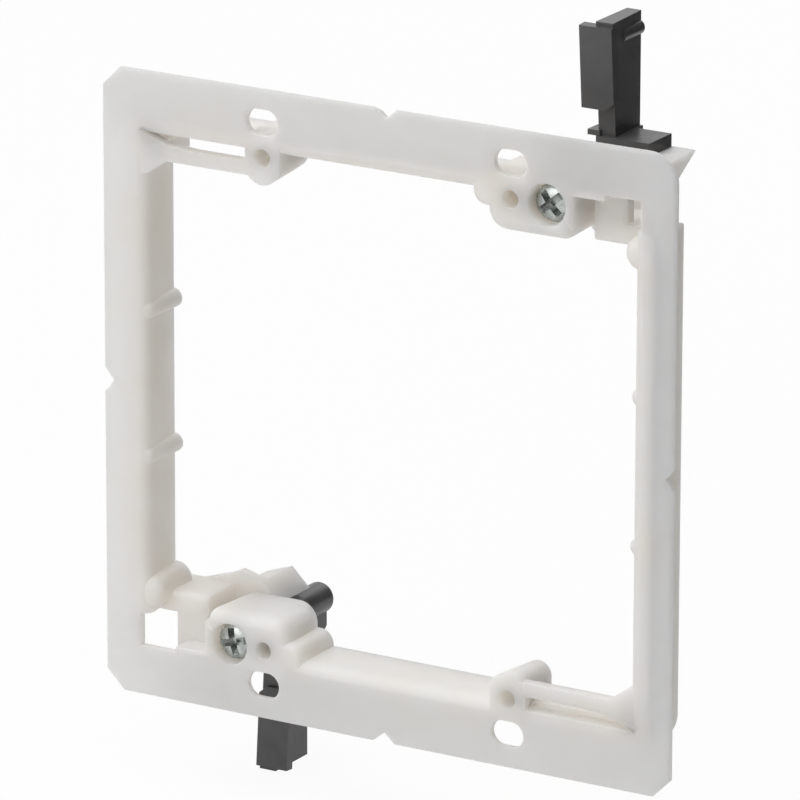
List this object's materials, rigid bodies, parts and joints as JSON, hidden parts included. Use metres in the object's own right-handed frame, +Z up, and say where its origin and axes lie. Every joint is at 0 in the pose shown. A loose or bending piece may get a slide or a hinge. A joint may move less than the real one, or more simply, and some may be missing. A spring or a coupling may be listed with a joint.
{
  "type": "low voltage mounting bracket",
  "caption": "Two-gang wall frame for low-voltage plates, with an open back and screw-driven swing-out wings that clamp it to wallboard.",
  "frame": {"origin": "centre of the opening, in the plane of the flange's back, which lies on the wall face", "axes": "+Z up the wall, +X to the right seen from the room, +Y into the hollow of the wall"},
  "size_m": [0.1064, 0.0292, 0.1366],
  "materials": {
    "natural_plastic": "as moulded, slightly translucent",
    "zinc_steel": "zinc plated",
    "black_plastic": "satin"
  },
  "bodies": {
    "frame": {"bracket_frame": "natural_plastic"},
    "upper_screw": {"upper_wing_screw": "zinc_steel"},
    "upper_wing": {"upper_wing": "black_plastic"},
    "lower_screw": {"lower_wing_screw": "zinc_steel"},
    "lower_wing": {"lower_wing": "black_plastic"}
  },
  "joints": [
    {"name": "upper_screw_turn", "type": "hinge", "parent": "frame", "child": "upper_screw", "pos_m": [0.0296, 0, 0.04167], "axis": [0, 1, 0], "range_deg": [-130, 0]},
    {"name": "upper_wing_travel", "type": "slide", "parent": "upper_screw", "child": "upper_wing", "axis": [0, 1, 0], "range_m": [-0.002, 0.0095]},
    {"name": "lower_screw_turn", "type": "hinge", "parent": "frame", "child": "lower_screw", "pos_m": [-0.0296, 0, -0.04167], "axis": [0, 1, 0], "range_deg": [-130, 0]},
    {"name": "lower_wing_travel", "type": "slide", "parent": "lower_screw", "child": "lower_wing", "axis": [0, 1, 0], "range_m": [-0.002, 0.0095]}
  ]
}
